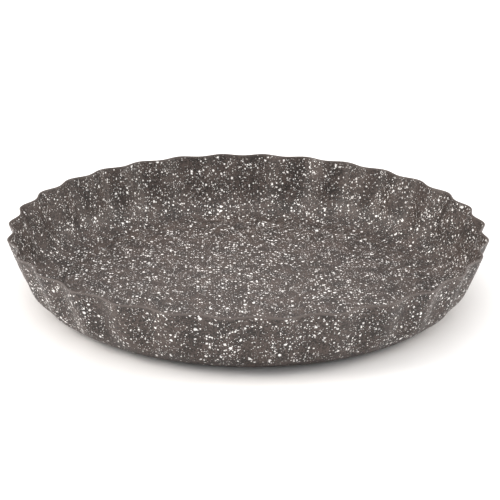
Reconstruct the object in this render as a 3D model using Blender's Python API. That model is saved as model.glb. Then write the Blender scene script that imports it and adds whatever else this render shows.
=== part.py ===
"""Fluted tart pan with a loose base, in metres, +Z up.

The pan is two pressed sheet-steel pieces. The fluted ring is the wall: it leans outwards, its flutes
die out towards a plain, well-rounded foot, and the foot turns in as a flat lip. The loose base lies
on that lip, and its stepped-down middle drops into the lip's opening, which centres it. Pushed up
from below, the base lifts the tart out of the ring.

The origin is on the table, at the centre of the foot.
"""

import math

import bmesh
import bpy

# Driving dimensions, each of which can be set by itself.
RIM_DIAMETER = 0.280  # over the outer crests of the flutes, at the rim
FOOT_DIAMETER = 0.2504  # where the straight wall's outer surface, carried down, meets the table
PAN_HEIGHT = 0.0385  # table to the highest point of the rim
RING_SHEET = 0.0008  # sheet thickness of the ring
FLUTES = 30
FLUTE_DEPTH = 0.0036  # crest to hollow, at the rim
FLUTE_START = 0.004  # height above the table at which the flutes begin
FLUTE_FADE = 3.0  # how soon above that the flutes reach their depth; 1 is a straight fade
BEND_RADIUS = 0.022  # outer radius of the bend between the wall and the lip
LIP_WIDTH = 0.0075  # flat part of the lip, from the bend to the opening

BASE_SHEET = 0.0008  # sheet thickness of the base
SEAT_GAP = 0.0003  # base's flange above the lip that carries it
EDGE_PLAY = 0.0005  # base's edge, inside the start of the ring's bend
STEP_PLAY = 0.0008  # base's stepped middle, inside the lip's opening
STEP_RUN = 0.0020  # width over which the base steps down
TABLE_GAP = 0.0003  # base's middle above the table, so that only the ring's lip stands on it

# Facets.
STEPS_PER_FLUTE = 8
BEND_STEPS = 7
WALL_STEPS = 2
BASE_STEPS = 160
SHARP_ANGLE = math.radians(40)  # a fold sharper than this is drawn as an edge

# Finish of both pieces: warm grey, satin.
COATING_COLOR = (0.13, 0.12, 0.115)
COATING_ROUGHNESS = 0.5

# Places that follow from the driving dimensions.
rim_radius = RIM_DIAMETER / 2 - FLUTE_DEPTH / 2  # mean of crests and hollows
foot_radius = FOOT_DIAMETER / 2
wall_lean = math.atan2(rim_radius - foot_radius, PAN_HEIGHT)  # from upright
rim_edge_height = PAN_HEIGHT - RING_SHEET * math.sin(wall_lean)  # outer edge of the cut rim
bend_turn = math.pi / 2 - wall_lean  # angle between the lip and the wall
bend_reach = BEND_RADIUS * math.tan(bend_turn / 2)  # length that the bend takes from each side
bend_start = foot_radius - bend_reach  # radius at which the lip begins to curve up
opening_radius = bend_start - LIP_WIDTH

flange_height = RING_SHEET + SEAT_GAP  # underside of the base's flange
base_radius = bend_start - EDGE_PLAY
step_outer_radius = opening_radius - STEP_PLAY
step_inner_radius = step_outer_radius - STEP_RUN


def clear_scene():
    for obj in list(bpy.data.objects):
        bpy.data.objects.remove(obj, do_unlink=True)


def coating(name):
    material = bpy.data.materials.new(name)
    material.use_nodes = True
    shader = material.node_tree.nodes["Principled BSDF"]
    shader.inputs["Base Color"].default_value = (*COATING_COLOR, 1.0)
    shader.inputs["Roughness"].default_value = COATING_ROUGHNESS
    return material


def sheet_object(name, mesh_data, thickness, material):
    """Links the surface as an object and gives it its thickness on the inner, upper side."""
    mesh = bpy.data.meshes.new(name)
    mesh_data.to_mesh(mesh)
    mesh_data.free()
    mesh.shade_smooth()
    mesh.set_sharp_from_angle(angle=SHARP_ANGLE)
    mesh.materials.append(material)
    obj = bpy.data.objects.new(name, mesh)
    bpy.context.scene.collection.objects.link(obj)
    sheet = obj.modifiers.new("sheet_thickness", "SOLIDIFY")
    sheet.thickness = thickness
    sheet.offset = -1.0
    sheet.use_even_offset = True
    return obj


def ring_section():
    """The ring's outer surface in section, from the opening to the rim, as (radius, height)."""
    section = [(opening_radius, 0.0), (bend_start, 0.0)]
    for step in range(1, BEND_STEPS + 1):
        turned = bend_turn * step / BEND_STEPS
        radius = bend_start + BEND_RADIUS * math.sin(turned)
        section.append((radius, BEND_RADIUS * (1 - math.cos(turned))))
    wall_radius, wall_height = section[-1]
    for step in range(1, WALL_STEPS + 1):
        share = step / WALL_STEPS
        radius = wall_radius + (rim_radius - wall_radius) * share
        section.append((radius, wall_height + (rim_edge_height - wall_height) * share))
    return section


def flute_share(height):
    """How much of their full depth the flutes have at this height, from 0 to 1."""
    risen = max(0.0, (height - FLUTE_START) / (rim_edge_height - FLUTE_START))
    return 1 - (1 - risen) ** FLUTE_FADE


def fluted_loop(mesh_data, radius, height):
    """One closed loop of points round the pan, with a crest on +X."""
    steps = FLUTES * STEPS_PER_FLUTE
    loop = []
    for step in range(steps):
        angle = 2 * math.pi * step / steps
        wave = FLUTE_DEPTH / 2 * flute_share(height) * math.cos(FLUTES * angle)
        reach = radius + wave
        loop.append(mesh_data.verts.new((reach * math.cos(angle), reach * math.sin(angle), height)))
    return loop


def make_ring(material):
    mesh_data = bmesh.new()
    loops = [fluted_loop(mesh_data, *station) for station in ring_section()]
    for lower, upper in zip(loops, loops[1:]):
        for step in range(len(lower)):
            after = (step + 1) % len(lower)
            mesh_data.faces.new((lower[step], lower[after], upper[after], upper[step]))
    # The flat lip faces down and the wall faces out.
    bmesh.ops.recalc_face_normals(mesh_data, faces=mesh_data.faces)
    mesh_data.normal_update()
    lip_face = min(mesh_data.faces, key=lambda face: face.calc_center_median().z)
    if lip_face.normal.z > 0:
        bmesh.ops.reverse_faces(mesh_data, faces=mesh_data.faces)
    return sheet_object("fluted_ring", mesh_data, RING_SHEET, material)


def extrude_out(mesh_data, edges, radius, height):
    """Extrudes the base's outer edge to a wider circle and returns the new edge."""
    made = bmesh.ops.extrude_edge_only(mesh_data, edges=edges)["geom"]
    for vert in [item for item in made if isinstance(item, bmesh.types.BMVert)]:
        widen = radius / math.hypot(vert.co.x, vert.co.y)
        vert.co = (vert.co.x * widen, vert.co.y * widen, height)
    return [item for item in made if isinstance(item, bmesh.types.BMEdge)]


def make_base(material):
    mesh_data = bmesh.new()
    bmesh.ops.create_circle(mesh_data, cap_ends=True, radius=step_inner_radius, segments=BASE_STEPS)
    bmesh.ops.translate(mesh_data, verts=mesh_data.verts, vec=(0, 0, TABLE_GAP))
    edge = extrude_out(mesh_data, mesh_data.edges[:], step_outer_radius, flange_height)
    extrude_out(mesh_data, edge, base_radius, flange_height)
    bmesh.ops.recalc_face_normals(mesh_data, faces=mesh_data.faces)
    mesh_data.normal_update()
    middle = max(mesh_data.faces, key=lambda face: len(face.verts))
    if middle.normal.z > 0:
        bmesh.ops.reverse_faces(mesh_data, faces=mesh_data.faces)
    return sheet_object("loose_base", mesh_data, BASE_SHEET, material)


clear_scene()
make_ring(coating("ring_coating"))
make_base(coating("base_coating"))
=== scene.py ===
# %% [markdown]
# # A fluted tart pan with a loose base
#
# The real pan is two pressings of thin sheet steel under a stone-look non-stick coating. The ring is
# the wall: it leans outwards in thirty soft flutes, which die out towards a plain, well-rounded foot,
# and the foot turns in as a flat lip. The loose base lies on that lip, so a push from below lifts the
# tart out.
#
# This lesson models both pieces with the tools of edit mode, then builds the coating from nodes, and
# ends with the light and the camera. Every size is in metres, and +Z is up.

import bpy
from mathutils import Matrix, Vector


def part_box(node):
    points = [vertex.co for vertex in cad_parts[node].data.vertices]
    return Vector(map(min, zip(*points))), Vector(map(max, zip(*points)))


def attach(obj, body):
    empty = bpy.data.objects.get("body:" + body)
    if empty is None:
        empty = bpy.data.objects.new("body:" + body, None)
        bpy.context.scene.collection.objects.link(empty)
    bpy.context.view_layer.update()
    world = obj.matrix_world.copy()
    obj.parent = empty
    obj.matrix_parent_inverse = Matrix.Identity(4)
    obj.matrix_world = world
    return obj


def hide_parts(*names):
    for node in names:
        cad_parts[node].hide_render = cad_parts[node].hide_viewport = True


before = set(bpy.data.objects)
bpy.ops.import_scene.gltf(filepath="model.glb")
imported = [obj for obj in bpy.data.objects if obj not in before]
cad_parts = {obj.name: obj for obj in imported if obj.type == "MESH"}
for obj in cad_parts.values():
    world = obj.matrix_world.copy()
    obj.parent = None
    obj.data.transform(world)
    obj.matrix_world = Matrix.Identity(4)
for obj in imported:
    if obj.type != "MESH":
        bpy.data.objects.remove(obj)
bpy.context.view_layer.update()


def in_mm(metres):
    """A length in millimetres, short enough to print."""
    return round(1000 * metres, 2)


# %% [markdown]
# The sizes come in two kinds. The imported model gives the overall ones, so that the pieces fill the
# same box. The rest belong to the pressing: how thick the sheet is, how tightly it bends, how deep the
# flutes are. Each is written once here, and every later step takes it from here.

# %% Sizes of the two pressings
import math

import bmesh
import bpy
from mathutils import Quaternion, Vector

FLUTES = 30
FLUTE_DEPTH = 0.0036  # crest to hollow, at the rim
SHEET = 0.0008
FOOT_RADIUS = 0.1252  # where the straight wall, carried down, meets the table
BEND_RADIUS = 0.022
LIP_WIDTH = 0.0075
STEP_PLAY = 0.0008  # between the lip's opening and the base's step, all round
STEP_RUN = 0.0020  # width over which the base steps down

_, ring_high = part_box("fluted_ring")
base_low, base_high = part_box("loose_base")
crest_radius = ring_high.x
pan_height = ring_high.z
rim_radius = crest_radius - FLUTE_DEPTH / 2  # midway between crest and hollow
lean = math.atan2(rim_radius - FOOT_RADIUS, pan_height)
print("crests reach", in_mm(crest_radius), "mm and the rim stands", in_mm(pan_height), "mm high")
print("the wall leans", round(math.degrees(lean), 1), "degrees")

# %% [markdown]
# Work in edit mode always goes the same way here. First everything is deselected, because an operator
# acts on all that is selected, and a loaded model or a new primitive is selected all over. Then the
# points or edges to work on are chosen in code, by their place. These short helpers do that, and every
# later cell uses them.

# %% Helpers for choosing and shaping
def start_piece(name):
    """Names the primitive that was just added and opens it in edit mode, with nothing selected."""
    piece = bpy.context.object
    piece.name = name
    piece.data.name = name
    bpy.ops.object.mode_set(mode="EDIT")
    bpy.ops.mesh.select_all(action="DESELECT")
    return piece


def choose(piece, kind, test):
    """Selects the points ("VERT") or edges ("EDGE") that pass the test. Returns how many there are."""
    bpy.ops.mesh.select_mode(type=kind)
    cage = bmesh.from_edit_mesh(piece.data)
    elements = cage.verts if kind == "VERT" else cage.edges
    for element in elements:
        element.select = test(element)
    cage.select_flush_mode()
    bmesh.update_edit_mesh(piece.data)
    return sum(element.select for element in elements)


def reach(point):
    """How far a point stands from the pan's axis."""
    return math.hypot(point.co.x, point.co.y)


def widen(factor):
    """Scales what is selected about the pan's axis and leaves its height alone."""
    bpy.ops.transform.resize(value=(factor, factor, 1), center_override=(0, 0, 0))


def draw_row(now, then):
    """Extrudes the selected loop from one (radius, height) of the section to the next."""
    bpy.ops.mesh.extrude_region_move(TRANSFORM_OT_translate={"value": (0, 0, then[1] - now[1])})
    widen(then[0] / now[0])


# %% [markdown]
# The ring starts as a circle: the edge of the opening that the base covers. A press would draw it
# from a flat blank. Here the circle is extruded outwards and upwards, row by row, along the section:
# flat lip, bend, straight wall. Spinning a profile would give the same cone, but rows that are drawn
# one at a time stay level loops, and the flutes are pressed into those next.
#
# The circle has 24 points to a flute, so that a crest and a hollow always fall on a point.

# %% The ring's section
POINTS_PER_FLUTE = 24
BEND_ROWS = 10
WALL_ROWS = 7

turn = math.pi / 2 - lean  # angle between the lip and the wall
bend_start = FOOT_RADIUS - BEND_RADIUS * math.tan(turn / 2)
opening_radius = bend_start - LIP_WIDTH
rim_edge = pan_height - SHEET * math.sin(lean)  # height of the rim's outer edge

section = [(opening_radius, 0.0), (bend_start, 0.0)]
for row in range(1, BEND_ROWS + 1):
    turned = turn * row / BEND_ROWS
    radius = bend_start + BEND_RADIUS * math.sin(turned)
    section.append((radius, BEND_RADIUS * (1 - math.cos(turned))))
wall_radius, wall_height = section[-1]  # where the straight wall begins
for row in range(1, WALL_ROWS + 1):
    share = row / WALL_ROWS
    radius = wall_radius + (rim_radius - wall_radius) * share
    section.append((radius, wall_height + (rim_edge - wall_height) * share))
print(len(section), "rows, the lip's opening is", in_mm(2 * opening_radius), "mm across")

# %% Draw the plain ring from its opening to its rim
bpy.ops.object.select_all(action="DESELECT")
bpy.ops.mesh.primitive_circle_add(
    vertices=FLUTES * POINTS_PER_FLUTE, radius=opening_radius, location=(0, 0, 0)
)
ring = start_piece("ring_pressing")
bpy.ops.mesh.select_all(action="SELECT")
for now, then in zip(section, section[1:]):
    draw_row(now, then)
print("plain ring:", len(bmesh.from_edit_mesh(ring.data).verts), "points")

# %% [markdown]
# Each flute is a soft wave: the press pushes the crests out and the hollows in, by half the depth
# each way. The wave is full at the rim and dies out near the foot, which stays a true circle. A wave
# could be a Displace modifier with a texture, but scaling chosen points about the pan's axis keeps
# every crest exactly where it is wanted.
#
# All the points of one row that stand at the same place in their flute move together, so one scaling
# serves thirty crests at a time.

# %% Press the flutes
FLUTE_START = 0.004  # height above the table at which the flutes begin
FLUTE_FADE = 3.0  # how soon above that they reach their depth; 1 is an even fade
FLUTE_ANGLE = 2 * math.pi / FLUTES
STEP_ANGLE = FLUTE_ANGLE / POINTS_PER_FLUTE
SAME_ROW = 0.0002  # points whose heights are this close stand in one row


def place_in_flute(point):
    """Steps from the nearest crest: 0 on a crest, half of POINTS_PER_FLUTE in a hollow."""
    step = round(math.atan2(point.co.y, point.co.x) / STEP_ANGLE) % POINTS_PER_FLUTE
    return min(step, POINTS_PER_FLUTE - step)


def press_row(piece, radius, height, depth):
    """Presses one row of the wall into waves of this depth."""
    cage = bmesh.from_edit_mesh(piece.data)
    in_row = [point for point in cage.verts if abs(point.co.z - height) < SAME_ROW]
    places = {point.index: place_in_flute(point) for point in in_row}
    for place in range(POINTS_PER_FLUTE // 2 + 1):
        wave = depth / 2 * math.cos(2 * math.pi * place / POINTS_PER_FLUTE)
        choose(piece, "VERT", lambda point: places.get(point.index) == place)
        widen(1 + wave / radius)


for radius, height in section:
    risen = (height - FLUTE_START) / (rim_edge - FLUTE_START)
    if risen > 0:
        press_row(ring, radius, height, FLUTE_DEPTH * (1 - (1 - risen) ** FLUTE_FADE))
print("crests at", in_mm(max(map(reach, bmesh.from_edit_mesh(ring.data).verts))), "mm")

# %% [markdown]
# So far the ring is a surface with no thickness. Solidify gives it the sheet's 0.8 mm, towards the
# inside, so that the outside keeps its size. It needs to know which way is out: on an open surface
# that is a choice, so the normals are made to agree, and then turned if the lip faces up.
#
# A cut sheet is never knife-sharp once it is coated, because the coating draws into a rounded edge.
# The four cut edges, two at the rim and two at the opening, get a small bevel for that. They are the
# only edges where two faces meet at a steep angle. Smooth shading would drag the shade of the tiny
# bevel faces out over the wide ones, so Weighted Normal gives the wide faces the say.

# %% Give the sheet its thickness and round its cut edges
EDGE_ROUND = 0.00024
EDGE_SEGMENTS = 3
CUT_ANGLE = math.radians(50)  # faces that meet more steeply than this meet at a cut edge


def face_sheet_down(piece):
    """Makes the surface's normals agree, with the lowest face looking down."""
    bpy.ops.mesh.select_all(action="SELECT")
    bpy.ops.mesh.normals_make_consistent(inside=False)
    cage = bmesh.from_edit_mesh(piece.data)
    lowest = min(cage.faces, key=lambda face: face.calc_center_median().z)
    if lowest.normal.z > 0:
        bpy.ops.mesh.flip_normals()


def thicken(piece):
    """Applies a Solidify that grows the sheet away from its outside."""
    bpy.ops.object.mode_set(mode="OBJECT")
    sheet = piece.modifiers.new("sheet", "SOLIDIFY")
    sheet.thickness = SHEET
    sheet.offset = -1.0
    sheet.use_even_offset = True
    bpy.ops.object.modifier_apply(modifier=sheet.name)


def round_cut_edges(piece):
    """Bevels the edges where the sheet was cut, and shades the rest smooth."""
    bpy.ops.object.mode_set(mode="EDIT")
    found = choose(piece, "EDGE", lambda edge: edge.calc_face_angle(0) > CUT_ANGLE)
    bpy.ops.mesh.bevel(
        offset=EDGE_ROUND, offset_type="OFFSET", segments=EDGE_SEGMENTS, affect="EDGES"
    )
    bpy.ops.object.mode_set(mode="OBJECT")
    bpy.ops.object.shade_smooth()
    even = piece.modifiers.new("even", "WEIGHTED_NORMAL")
    even.mode = "FACE_AREA"
    even.weight = 100
    even.keep_sharp = False
    bpy.ops.object.modifier_apply(modifier=even.name)
    print(piece.name, "has", found, "cut edges and now", len(piece.data.polygons), "faces")


face_sheet_down(ring)
thicken(ring)
round_cut_edges(ring)

# %% [markdown]
# The base is a disc with a shallow step. Its wide flange lies on the ring's lip and its middle drops
# into the lip's opening, which keeps it centred. It starts as an open circle, the edge of the flat
# middle, and is drawn outwards like the ring: up the step in a few rows, so that the fold is soft, and
# then flat. The middle is filled last, because a filled circle would be extruded as a face.

# %% Draw the base
BASE_POINTS = 360
STEP_ROWS = 6

middle_height = base_low.z
flange_height = base_high.z - SHEET
step_height = flange_height - middle_height
step_outer = opening_radius - STEP_PLAY
step_inner = step_outer - STEP_RUN

base_section = []
for row in range(STEP_ROWS + 1):
    share = row / STEP_ROWS
    rise = share * share * (3 - 2 * share)  # a soft S from 0 to 1
    base_section.append((step_inner + STEP_RUN * share, middle_height + step_height * rise))
base_section.append((base_high.x, flange_height))

bpy.ops.object.select_all(action="DESELECT")
bpy.ops.mesh.primitive_circle_add(
    vertices=BASE_POINTS, radius=step_inner, location=(0, 0, middle_height)
)
base = start_piece("base_pressing")
bpy.ops.mesh.select_all(action="SELECT")
for now, then in zip(base_section, base_section[1:]):
    draw_row(now, then)


def bounds_middle(edge):
    """Whether an edge belongs to the open circle that the base started from."""
    return edge.is_boundary and reach(edge.verts[0]) < step_inner + STEP_RUN / 2


choose(base, "EDGE", bounds_middle)
bpy.ops.mesh.edge_face_add()
print("base is", in_mm(2 * base_high.x), "mm across, its middle", in_mm(2 * step_inner), "mm")

# %% [markdown]
# The base is thickened and rounded like the ring. Its circle was added above the table, so its object
# stands up there too. Applying the transform moves that height into the mesh and leaves the object at
# the origin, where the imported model's nodes are.

# %% Thicken the base and put its place in its mesh
face_sheet_down(base)
thicken(base)
round_cut_edges(base)
bpy.ops.object.select_all(action="DESELECT")
base.select_set(True)
bpy.context.view_layer.objects.active = base
bpy.ops.object.transform_apply(location=True, rotation=True, scale=True)
base_heights = [point.co.z for point in base.data.vertices]
print("base spans", in_mm(min(base_heights)), "to", in_mm(max(base_heights)), "mm in height")

# %% [markdown]
# ## The coating
#
# The coating is sprayed on: first a warm dark grey ground, then a spatter of white and pale grey
# drops in all sizes, like the flecks in stone. Both pieces wear it, so its effects are node groups,
# each built once and placed in both materials with its own values.
#
# A group is easier to read when its making is short. These helpers open a new group with named inputs
# and outputs, place a group in a tree, and add a node with its settings in one line.

# %% Helpers for nodes and node groups
def new_group(name, inputs, outputs):
    """Opens a group. Inputs are {name: default}, a triple for a vector, and all outputs are numbers."""
    group = bpy.data.node_groups.new(name, "ShaderNodeTree")
    for label, default in inputs.items():
        kind = "NodeSocketFloat" if isinstance(default, float) else "NodeSocketVector"
        socket = group.interface.new_socket(name=label, in_out="INPUT", socket_type=kind)
        socket.default_value = default
    for label in outputs:
        group.interface.new_socket(name=label, in_out="OUTPUT", socket_type="NodeSocketFloat")
    return group, group.nodes.new("NodeGroupInput").outputs, group.nodes.new("NodeGroupOutput").inputs


def feed(tree, node, label, value):
    """Links a socket to the node's input, or sets the input to a number or a colour."""
    if isinstance(value, bpy.types.NodeSocket):
        tree.links.new(value, node.inputs[label])
    else:
        node.inputs[label].default_value = value


def place_group(tree, group, **sockets):
    """Places a group in a tree and returns its outputs."""
    node = tree.nodes.new("ShaderNodeGroup")
    node.node_tree = group
    for label, value in sockets.items():
        feed(tree, node, label, value)
    return node.outputs


def add(tree, kind, settings=None, **sockets):
    """Adds a node and feeds its inputs. A name like _0 is the number of an input that shares its name."""
    node = tree.nodes.new("ShaderNode" + kind)
    for label, value in (settings or {}).items():
        setattr(node, label, value)
    for label, value in sockets.items():
        numbered = label[1:].isdigit()
        feed(tree, node, int(label[1:]) if numbered else label.replace("_", " "), value)
    return node


def calc(tree, operation, first, second=0.0, third=0.0, clamp=False):
    """Adds a Math node and returns its result."""
    settings = {"operation": operation, "use_clamp": clamp}
    return add(tree, "Math", settings, _0=first, _1=second, _2=third).outputs[0]


def shift(tree, operation, first, second):
    """Adds a Vector Math node and returns its vector."""
    return add(tree, "VectorMath", {"operation": operation}, _0=first, _1=second).outputs["Vector"]


def noise(tree, place, scale, detail, roughness):
    """Adds a Noise texture and returns its outputs. The scale is in cells per metre."""
    sockets = {"Vector": place, "Scale": scale, "Detail": detail, "Roughness": roughness}
    return add(tree, "TexNoise", **sockets).outputs


def fade(tree, value, levels, results=(0.0, 1.0)):
    """Turns a value into a soft step from one result to the other, between two of its levels."""
    settings = {"interpolation_type": "SMOOTHSTEP"}
    sockets = {"From_Min": levels[0], "From_Max": levels[1], "To_Min": results[0], "To_Max": results[1]}
    return add(tree, "MapRange", settings, Value=value, **sockets).outputs["Result"]


def lay_over(tree, mask, under, over):
    """Adds a Mix node that covers one colour with another as far as the mask says."""
    return add(tree, "Mix", {"data_type": "RGBA"}, _0=mask, _6=under, _7=over).outputs[2]


# %% [markdown]
# Spatter is what Voronoi cells are good at: space is divided into cells, each with one point at
# random, and the distance to that point makes a round drop. Each cell's random colour gives it three
# numbers of its own, which decide whether it has a drop at all, how big it is and how white. The
# coordinates are first pushed about by fine noise, so that the drops are ragged and not round.
#
# Spray never falls evenly. A slow noise, the drift, sets how many of the cells get a drop, so that the
# spatter is thick in some places and thin in others.

# %% Node group: one size of spatter drops
FRAY_SCALE = 1700.0
CENTRE = (0.5, 0.5, 0.5)  # of a noise colour, so that it pushes to all sides alike
SMALLEST_DROP = 0.35  # as a share of the largest
SOFT_EDGE = 0.18  # share of a drop's radius over which its edge fades


def make_spatter():
    inputs = {
        "Place": (0.0, 0.0, 0.0),
        "Cells": 350.0,
        "Drop": 0.2,
        "Share": 0.5,
        "Ragged": 0.0002,
        "Drift": 0.5,
    }
    tree, given, result = new_group("spatter_drops", inputs, ("Mask", "Whiteness"))
    frayed = noise(tree, given["Place"], FRAY_SCALE, detail=2.0, roughness=0.6)["Color"]
    centred = shift(tree, "SUBTRACT", frayed, CENTRE)
    push = add(tree, "VectorMath", {"operation": "SCALE"}, _0=centred, Scale=given["Ragged"])
    moved = shift(tree, "ADD", given["Place"], push.outputs["Vector"])
    cells = add(tree, "TexVoronoi", {"feature": "F1"}, Vector=moved, Scale=given["Cells"]).outputs
    own = add(tree, "SeparateColor", Color=cells["Color"]).outputs
    has_drop = calc(tree, "LESS_THAN", own["Red"], calc(tree, "MULTIPLY", given["Share"], given["Drift"]))
    own_size = calc(tree, "MULTIPLY_ADD", own["Green"], 1 - SMALLEST_DROP, SMALLEST_DROP)
    size = calc(tree, "MULTIPLY", given["Drop"], own_size)
    inside = calc(tree, "SUBTRACT", size, cells["Distance"])
    covers = calc(tree, "DIVIDE", inside, calc(tree, "MULTIPLY", size, SOFT_EDGE), clamp=True)
    tree.links.new(calc(tree, "MULTIPLY", covers, has_drop), result["Mask"])
    tree.links.new(calc(tree, "SQRT", own["Blue"]), result["Whiteness"])
    return tree


spatter_group = make_spatter()
print(spatter_group.name, "has", len(spatter_group.nodes), "nodes")

# %% [markdown]
# The ground under the spatter isn't one flat grey. Pigment settles unevenly, so it has a faint
# mottle a centimetre across and a finer cloudiness of about a millimetre. The group puts out a
# single number that each material turns into colour and gloss, and the drift that its spatter follows.

# %% Node group: the mottled ground
CLOUD_SHARE = 0.7  # of the tone; the mottle has the rest
PATCH_SCALE = 150.0
PATCH_LEVELS = (0.35, 0.65)
DRIFTS = (0.5, 1.35)  # where the spray falls thinnest and thickest


def make_ground():
    inputs = {"Place": (0.0, 0.0, 0.0), "Mottle": 90.0, "Cloud": 900.0}
    tree, given, result = new_group("mottled_ground", inputs, ("Tone", "Drift"))
    mottle = noise(tree, given["Place"], given["Mottle"], detail=2.0, roughness=0.5)["Fac"]
    cloud = noise(tree, given["Place"], given["Cloud"], detail=2.0, roughness=0.6)["Fac"]
    low = calc(tree, "MULTIPLY", mottle, 1 - CLOUD_SHARE)
    tree.links.new(calc(tree, "MULTIPLY_ADD", cloud, CLOUD_SHARE, low), result["Tone"])
    patches = noise(tree, given["Place"], PATCH_SCALE, detail=2.0, roughness=0.6)["Fac"]
    tree.links.new(fade(tree, patches, PATCH_LEVELS, DRIFTS), result["Drift"])
    return tree


ground_group = make_ground()
print(ground_group.name, "has", len(ground_group.nodes), "nodes")

# %% [markdown]
# Sprayed coating is never quite level. It dries with the long, low swell that painters call orange
# peel, and over that a fine tooth that keeps it satin. Both are height here, in metres, for a Bump
# node in each material.

# %% Node group: the coating's skin
PEEL_SCALE = 700.0
TOOTH_SCALE = 4500.0


def make_skin():
    inputs = {"Place": (0.0, 0.0, 0.0), "Peel": 0.000012, "Tooth": 0.000003}
    tree, given, result = new_group("coating_skin", inputs, ("Height",))
    peel = noise(tree, given["Place"], PEEL_SCALE, detail=1.0, roughness=0.5)["Fac"]
    tooth = noise(tree, given["Place"], TOOTH_SCALE, detail=1.0, roughness=0.6)["Fac"]
    swell = calc(tree, "MULTIPLY", peel, given["Peel"])
    tree.links.new(calc(tree, "MULTIPLY_ADD", tooth, given["Tooth"], swell), result["Height"])
    return tree


skin_group = make_skin()
print(skin_group.name, "has", len(skin_group.nodes), "nodes")

# %% [markdown]
# A coat draws back from a sharp edge as it dries, and every washing and stacking rubs there first. So
# towards a cut edge the coating turns thinner and smoother, along a line that wanders a little. It is
# also painted paler there, partly for the thin coat and partly as a painted highlight on the edge.
# The group is told how far along the piece a place is, as a height or a radius, and where the edge
# begins and ends.

# %% Node group: the coat thins towards an edge, where a highlight is painted
WANDER_SCALE = 260.0


def make_thinning_and_highlight():
    inputs = {"Place": (0.0, 0.0, 0.0), "Along": 0.0, "Start": 0.0, "End": 1.0, "Wander": 0.0007}
    tree, given, result = new_group("thinning_coat_and_highlight", inputs, ("Mask",))
    uneven = noise(tree, given["Place"], WANDER_SCALE, detail=2.0, roughness=0.6)["Fac"]
    centred = calc(tree, "SUBTRACT", uneven, 0.5)
    along = calc(tree, "MULTIPLY_ADD", centred, given["Wander"], given["Along"])
    tree.links.new(fade(tree, along, (given["Start"], given["End"])), result["Mask"])
    return tree


thinning_and_highlight_group = make_thinning_and_highlight()
print(thinning_and_highlight_group.name, "has", len(thinning_and_highlight_group.nodes), "nodes")

# %% [markdown]
# Now the material that both pieces share in kind. The three sizes of drops are laid over the ground
# from the finest up, as mist, specks and flecks. Near the cut rim the coating runs thin and the
# spatter stops short, so a narrow plain band follows the edge. It is painted paler, partly for the thin
# coat and partly as a painted highlight. The spray comes from above and from the sides, so faces that
# look down catch only a few drops. The Principled shader takes the colour and the gloss, and the drops
# stand a hundredth of a millimetre proud in the bump.

# %% Build the coating
GROUND_DARK = (0.0125, 0.0082, 0.0064, 1.0)
GROUND_LIGHT = (0.073, 0.0520, 0.0436, 1.0)
GROUND_LEVELS = (0.40, 0.60)  # the tones at which the ground is all dark and all light
# The thin coat's paler grey is partly wear and partly a painted highlight along the cut edge.
GROUND_THIN_AND_HIGHLIGHT = (0.082, 0.065, 0.058, 1.0)  # where the coat runs thin
DROP_GREY = (0.66, 0.64, 0.62, 1.0)
DROP_WHITE = (0.97, 0.96, 0.94, 1.0)
DROP_HEIGHT = 0.00001
DROPS = (
    # cells per metre, drop radius in cells, share of cells with a drop, ragged edge in metres
    (1350.0, 0.41, 0.30, 0.00030),
    (700.0, 0.46, 0.28, 0.00075),
    (400.0, 0.41, 0.225, 0.00140),
)

UNDER_LEVELS = (-0.82, -0.52)  # the normal's upward part: -1 looks straight down
UNDER_SHARES = (0.12, 1.0)  # how much of the spray reaches those faces

GROUND_ROUGHNESS = 0.60
TONE_GLOSS = 0.16  # how far the palest ground lowers the roughness
THIN_GLOSS = 0.12  # the same for a thin coat
DROP_GLOSS = 0.08  # and for a drop

RIM_BAND = (0.0015, 0.0006)  # below the rim, where the coat begins to thin and where it is thinnest
BASE_BAND = (0.0012, 0.0003)  # the same, inwards from the base's edge


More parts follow.
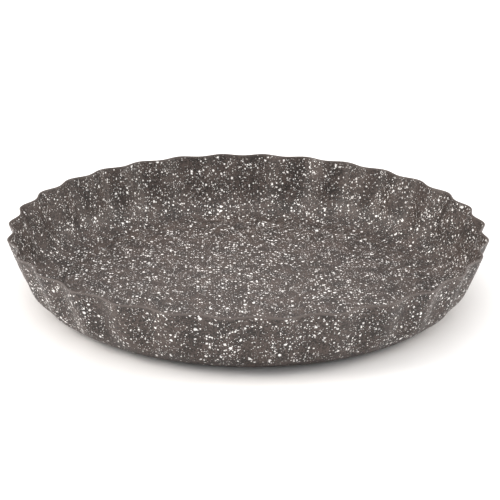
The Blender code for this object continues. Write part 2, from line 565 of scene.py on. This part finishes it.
def make_coating(name, measure, edge, band):
    """The stone coating. Towards the cut edge, at a height or a radius, it thins and has a painted
    highlight.
    """
    material = bpy.data.materials.new(name)
    material.use_nodes = True
    tree = material.node_tree
    shader = tree.nodes["Principled BSDF"]
    coordinates = add(tree, "TexCoord").outputs
    place = coordinates["Object"]

    ground = place_group(tree, ground_group, Place=place)
    color = lay_over(tree, fade(tree, ground["Tone"], GROUND_LEVELS), GROUND_DARK, GROUND_LIGHT)
    if measure == "height":
        along = add(tree, "SeparateXYZ", Vector=place).outputs["Z"]
    else:
        along = add(tree, "VectorMath", {"operation": "LENGTH"}, _0=place).outputs["Value"]
    # Towards the cut edge the ground is painted paler: partly a thinner, worn coat, partly a painted
    # highlight.
    ends = {"Start": edge - band[0], "End": edge - band[1]}
    thin_coat_and_highlight = place_group(tree, thinning_and_highlight_group, Place=place, Along=along, **ends)["Mask"]
    color = lay_over(tree, thin_coat_and_highlight, color, GROUND_THIN_AND_HIGHLIGHT)

    looks_up = add(tree, "SeparateXYZ", Vector=coordinates["Normal"]).outputs["Z"]
    sprayed = fade(tree, looks_up, UNDER_LEVELS, UNDER_SHARES)
    reaches = calc(tree, "MULTIPLY", sprayed, calc(tree, "SUBTRACT", 1.0, thin_coat_and_highlight))
    drift = calc(tree, "MULTIPLY", ground["Drift"], reaches)
    all_drops = 0.0
    for cells, drop, share, ragged in DROPS:
        sizes = {"Cells": cells, "Drop": drop, "Share": share, "Ragged": ragged}
        layer = place_group(tree, spatter_group, Place=place, Drift=drift, **sizes)
        own_color = lay_over(tree, layer["Whiteness"], DROP_GREY, DROP_WHITE)
        color = lay_over(tree, layer["Mask"], color, own_color)
        all_drops = calc(tree, "MAXIMUM", layer["Mask"], all_drops)
    tree.links.new(color, shader.inputs["Base Color"])

    roughness = calc(tree, "MULTIPLY_ADD", ground["Tone"], -TONE_GLOSS, GROUND_ROUGHNESS)
    roughness = calc(tree, "MULTIPLY_ADD", thin_coat_and_highlight, -THIN_GLOSS, roughness)
    roughness = calc(tree, "MULTIPLY_ADD", all_drops, -DROP_GLOSS, roughness)
    tree.links.new(roughness, shader.inputs["Roughness"])

    skin = place_group(tree, skin_group, Place=place)
    raised = calc(tree, "MULTIPLY_ADD", all_drops, DROP_HEIGHT, skin["Height"])
    bump = add(tree, "Bump", Strength=1.0, Distance=1.0, Height=raised)
    tree.links.new(bump.outputs["Normal"], shader.inputs["Normal"])
    return material


ring_coating = make_coating("ring_stone_coating", "height", pan_height, RIM_BAND)
base_coating = make_coating("base_stone_coating", "radius", base_high.x, BASE_BAND)
print("coating nodes:", len(ring_coating.node_tree.nodes))

# %% [markdown]
# Each finished piece now takes its material, rides on its body and stands in for its node in the
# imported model. The ring stays put, and the base rises with the joint that lifts it out.

# %% Coat the pieces and hand them to the model
def hand_over(piece, material, body, node):
    piece.data.materials.append(material)
    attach(piece, body)
    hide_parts(node)
    print(piece.name, "rides on", body, "with", len(piece.data.polygons), "faces")


hand_over(ring, ring_coating, "ring", "fluted_ring")
hand_over(base, base_coating, "base", "loose_base")

# %% [markdown]
# ## The studio
#
# A plain pale floor, and soft light from all round, as in a white room: brighter from the left, and
# dimmest from the side of the camera. The wall then shows its flutes as soft bands, lighter at both
# ends of the pan than in the middle. The two softboxes are a little warm.
#
# A third light, a very wide sun straight overhead, stands for the glow of a white ceiling. It reaches
# the whole floor evenly, which keeps the floor pale out to its edges.

# %% Floor
FLOOR_SIZE = 40.0  # so wide that its edge is far off even in a low view
FLOOR_COLOR = (0.93, 0.93, 0.93, 1.0)
FLOOR_ROUGHNESS = 0.9

bpy.ops.object.select_all(action="DESELECT")
bpy.ops.mesh.primitive_plane_add(size=FLOOR_SIZE, location=(0, 0, 0))
floor = bpy.context.object
floor.name = "studio_floor"
paper = bpy.data.materials.new("studio_floor")
paper.use_nodes = True
paper_shader = paper.node_tree.nodes["Principled BSDF"]
paper_shader.inputs["Base Color"].default_value = FLOOR_COLOR
paper_shader.inputs["Roughness"].default_value = FLOOR_ROUGHNESS
floor.data.materials.append(paper)
print(floor.name, "is", FLOOR_SIZE, "m wide")

# %% Light
ROOM_STRENGTH = 0.87
SOFTBOX_COLOR = (1.0, 0.93, 0.87)
SOFTBOXES = (
    # name, place, side in metres, power in watts
    ("softbox_left", (-1.3, -0.25, 0.9), 0.9, 20.0),
    ("softbox_right", (1.4, 0.0, 0.8), 0.8, 13.5),
)
GLOW_ENERGY = 0.9
GLOW_ANGLE = math.radians(60)

world = bpy.data.worlds.new("white_room")
world.use_nodes = True
room = world.node_tree.nodes["Background"]
room.inputs["Color"].default_value = (1.0, 1.0, 1.0, 1.0)
room.inputs["Strength"].default_value = ROOM_STRENGTH
bpy.context.scene.world = world


def hang_light(name, kind, energy):
    """Adds a light at the origin, looking straight down."""
    data = bpy.data.lights.new(name, kind)
    data.energy = energy
    light = bpy.data.objects.new(name, data)
    bpy.context.scene.collection.objects.link(light)
    return light


pan_middle = Vector((0, 0, pan_height / 2))
for name, place, side, power in SOFTBOXES:
    softbox = hang_light(name, "AREA", power)
    softbox.data.size = side
    softbox.data.color = SOFTBOX_COLOR
    softbox.location = place
    softbox.rotation_mode = "QUATERNION"
    softbox.rotation_quaternion = (pan_middle - Vector(place)).to_track_quat("-Z", "Y")
    print(name, "gives", power, "W from", place)

glow = hang_light("overhead_glow", "SUN", GLOW_ENERGY)
glow.data.angle = GLOW_ANGLE
print(glow.name, "spreads over", round(math.degrees(GLOW_ANGLE)), "degrees")

# %% [markdown]
# The camera stands a little left of the pan's middle, about 80 cm away, and looks down at 20
# degrees through a long lens, so that the rim reads as a shallow ellipse.

# %% Camera
VIEW_DISTANCE = 0.790  # from the middle of the rim
VIEW_ANGLE = math.radians(19.78)  # above the table
VIEW_SIDE = math.radians(-91.76)  # round the pan, from +X
LOOK_BELOW = math.radians(1.174)  # the aim passes under the rim's centre by this
LOOK_RIGHT = math.radians(0.096)
VIEW_ROLL = math.radians(0.643)
SENSOR_WIDTH = 36.0  # mm
LENS = 96.8  # mm

camera_data = bpy.data.cameras.new("camera")
camera_data.sensor_width = SENSOR_WIDTH
camera_data.lens = LENS
camera = bpy.data.objects.new("camera", camera_data)
bpy.context.scene.collection.objects.link(camera)
level = math.cos(VIEW_ANGLE)
back = Vector((level * math.cos(VIEW_SIDE), level * math.sin(VIEW_SIDE), math.sin(VIEW_ANGLE)))
camera.location = Vector((0, 0, pan_height)) + back * VIEW_DISTANCE
aim_down = Quaternion((1, 0, 0), -LOOK_BELOW)
aim_right = Quaternion((0, 1, 0), -LOOK_RIGHT)
roll = Quaternion((0, 0, 1), VIEW_ROLL)
turn_in_view = aim_down @ aim_right @ roll
camera.rotation_mode = "QUATERNION"
camera.rotation_quaternion = (-back).to_track_quat("-Z", "Y") @ turn_in_view
bpy.context.scene.camera = camera
bpy.context.scene.view_settings.view_transform = "Standard"
print("camera at", [round(number, 3) for number in camera.location])
